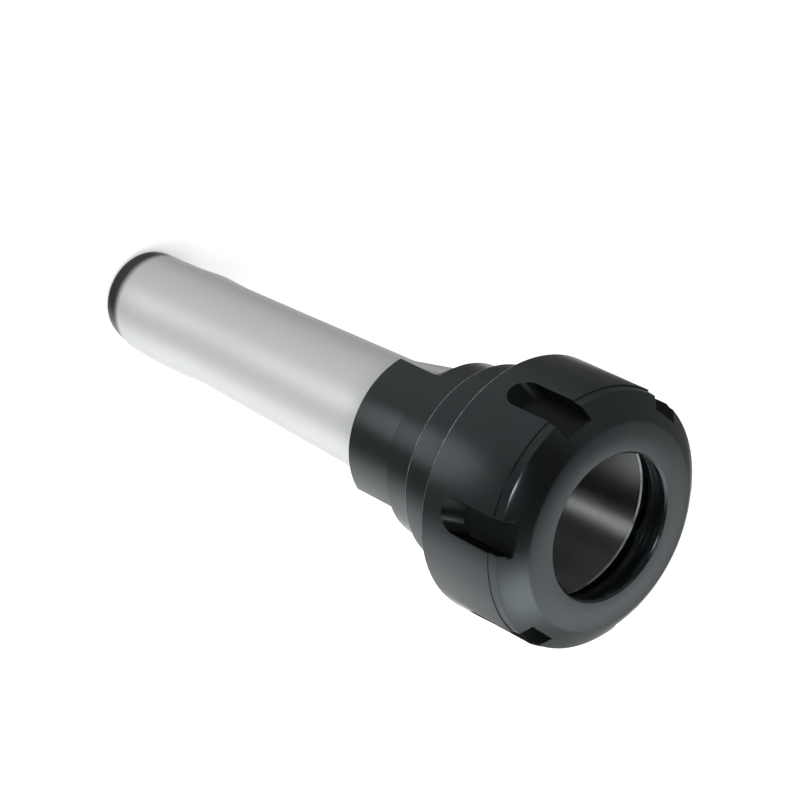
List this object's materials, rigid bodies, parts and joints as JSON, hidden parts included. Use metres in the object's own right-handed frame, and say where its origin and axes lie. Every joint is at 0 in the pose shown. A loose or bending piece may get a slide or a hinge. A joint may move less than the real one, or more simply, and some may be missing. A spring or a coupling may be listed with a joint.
{
  "type": "collet chuck holder",
  "caption": "Taper-shank collet chuck for a machine spindle, with a stepped body and a slotted clamping nut that screws onto its nose.",
  "frame": {"origin": "centre of the shank's small end, on the spindle axis, where the holder stands", "axes": "+Z along the spindle axis from the shank's small end to the nut; +Y and -Y face the two spanner flats"},
  "size_m": [0.05, 0.05, 0.1392],
  "materials": {
    "holder_steel": "shank ground to a satin, collar, flange and nose black oxide",
    "nut_steel": "turned and black oxide"
  },
  "bodies": {
    "body": {"holder_body": "holder_steel"},
    "nut": {"clamping_nut": "nut_steel"}
  },
  "joints": [
    {"name": "nut_turn", "type": "hinge", "parent": "body", "child": "nut", "pos_m": [0, 0, 0.123], "axis": [0, 0, 1], "range_deg": [-120, 3030]}
  ]
}
